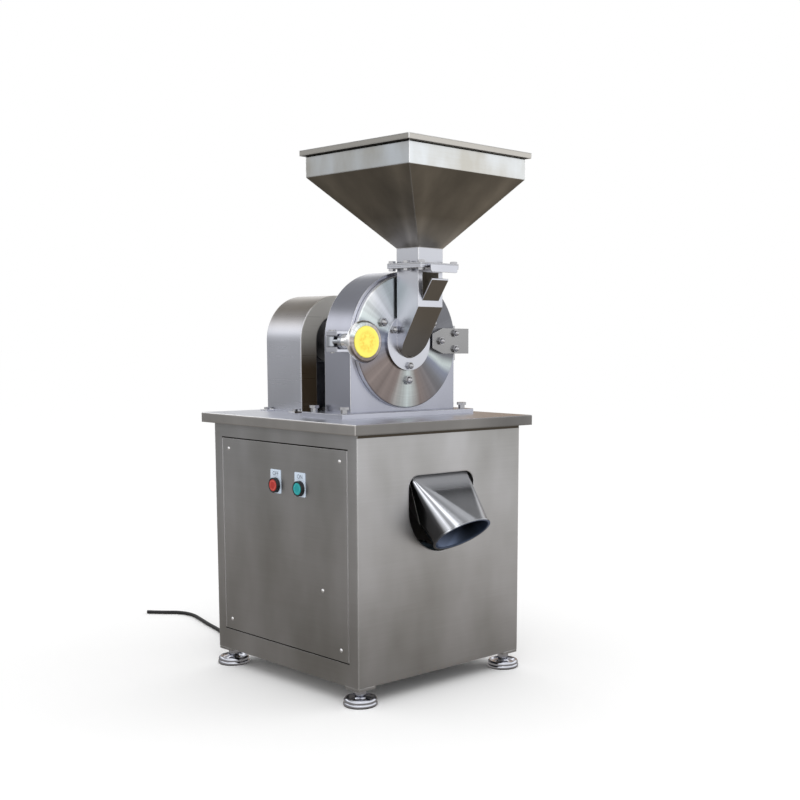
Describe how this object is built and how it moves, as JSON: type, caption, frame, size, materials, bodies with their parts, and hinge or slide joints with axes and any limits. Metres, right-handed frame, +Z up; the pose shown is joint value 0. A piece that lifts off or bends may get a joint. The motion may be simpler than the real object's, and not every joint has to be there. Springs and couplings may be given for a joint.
{
  "type": "sugar pulverizer",
  "caption": "Belt-driven toothed-disc mill with a square hopper, slide gate, hinged round door and beaded discharge spout, on a stainless cabinet with levelling feet.",
  "frame": {"origin": "on the floor, below the centre of the table top", "axes": "+Z up, -Y towards the mill door and the spout, -X towards the control panel; the mill's shaft runs along Y"},
  "size_m": [0.56, 1.2923, 1.247],
  "materials": {
    "stainless": "brushed",
    "polished_steel": "polished",
    "plated_fasteners": "plated",
    "black_casting": "painted black",
    "machined_steel": "turned",
    "motor_paint": "satin paint",
    "pulley_iron": "machined",
    "black_rubber": "matt",
    "pale_rubber": "matt",
    "black_plastic": "satin",
    "white_plastic": "satin",
    "red_plastic": "gloss",
    "green_plastic": "gloss",
    "yellow_plastic": "gloss"
  },
  "bodies": {
    "machine": {"table_top": "stainless", "cabinet_front_panel": "stainless", "cabinet_rear_panel": "stainless", "cabinet_right_panel": "stainless", "cabinet_left_frame": "stainless", "corner_posts": "stainless", "floor_rails": "stainless", "control_panel": "stainless", "panel_screws": "plated_fasteners", "legend_plates": "white_plastic", "button_bezels": "black_plastic", "switchgear": "black_plastic", "foot_lock_nuts": "plated_fasteners", "mill_base_plate": "stainless", "table_bolts": "plated_fasteners", "mill_chamber": "stainless", "screen_ring": "stainless", "shaft_seal": "black_rubber", "bearing_housing": "black_casting", "bearings": "machined_steel", "bearing_cap": "black_casting", "v_belts": "black_rubber", "motor_body": "motor_paint", "fan_cowl": "motor_paint", "motor_base": "stainless", "belt_guard": "stainless", "hinge_lugs": "stainless", "hinge_pins": "plated_fasteners", "clevis_lugs": "stainless", "discharge_spout": "polished_steel", "discharge_chute": "stainless", "cable_gland": "black_plastic", "power_cord": "black_rubber"},
    "door": {"mill_door": "machined_steel", "door_seal": "pale_rubber", "stator_disc": "machined_steel", "door_bolts": "plated_fasteners", "feed_duct": "stainless", "intake_lip": "stainless", "gate_frame": "stainless", "hopper": "stainless", "hinge_strap": "stainless"},
    "gate": {"slide_gate": "stainless"},
    "rotor": {"rotor_disc": "machined_steel", "rotor_shaft": "machined_steel", "rotor_nut": "plated_fasteners", "shaft_pulley": "pulley_iron"},
    "motor_rotor": {"motor_shaft": "machined_steel", "motor_pulley": "pulley_iron"},
    "clamp": {"swing_bolt": "plated_fasteners", "clamp_claw": "stainless"},
    "knob": {"clamp_knob": "polished_steel", "knob_cap": "yellow_plastic"},
    "start": {"start_button": "green_plastic"},
    "stop": {"stop_button": "red_plastic"},
    "front_left_foot": {"foot_front_left": "polished_steel"},
    "front_right_foot": {"foot_front_right": "polished_steel"},
    "rear_left_foot": {"foot_rear_left": "polished_steel"},
    "rear_right_foot": {"foot_rear_right": "polished_steel"}
  },
  "joints": [
    {"name": "door_hinge", "type": "hinge", "parent": "machine", "child": "door", "pos_m": [0.196, -0.105, 0.815], "axis": [0, 0, 1], "range_deg": [0, 110]},
    {"name": "gate_slide", "type": "slide", "parent": "door", "child": "gate", "axis": [0, -1, 0], "range_m": [0, 0.08]},
    {"name": "rotor_spin", "type": "hinge", "parent": "machine", "child": "rotor", "pos_m": [0.01, 0, 0.812], "axis": [0, 1, 0], "continuous": true},
    {"name": "motor_spin", "type": "hinge", "parent": "machine", "child": "motor_rotor", "pos_m": [0.01, 0, 0.238], "axis": [0, 1, 0], "continuous": true},
    {"name": "clamp_swing", "type": "hinge", "parent": "machine", "child": "clamp", "pos_m": [-0.184, -0.103, 0.812], "axis": [0, 0, -1], "range_deg": [0, 95]},
    {"name": "knob_turn", "type": "hinge", "parent": "clamp", "child": "knob", "pos_m": [-0.184, -0.19, 0.812], "axis": [0, -1, 0], "continuous": true},
    {"name": "start_press", "type": "slide", "parent": "machine", "child": "start", "axis": [1, 0, 0], "range_m": [0, 0.004], "stiffness_N_per_m": 1200},
    {"name": "stop_press", "type": "slide", "parent": "machine", "child": "stop", "axis": [1, 0, 0], "range_m": [0, 0.004], "stiffness_N_per_m": 1200},
    {"name": "front_left_foot_turn", "type": "hinge", "parent": "machine", "child": "front_left_foot", "pos_m": [-0.232, -0.252, 0.02], "axis": [0, 0, 1], "continuous": true},
    {"name": "front_right_foot_turn", "type": "hinge", "parent": "machine", "child": "front_right_foot", "pos_m": [0.232, -0.252, 0.02], "axis": [0, 0, 1], "continuous": true},
    {"name": "rear_left_foot_turn", "type": "hinge", "parent": "machine", "child": "rear_left_foot", "pos_m": [-0.232, 0.252, 0.02], "axis": [0, 0, 1], "continuous": true},
    {"name": "rear_right_foot_turn", "type": "hinge", "parent": "machine", "child": "rear_right_foot", "pos_m": [0.232, 0.252, 0.02], "axis": [0, 0, 1], "continuous": true}
  ],
  "couplings": [
    {"joint": "rotor_spin", "follows": "motor_spin", "ratio": 1.5625}
  ]
}
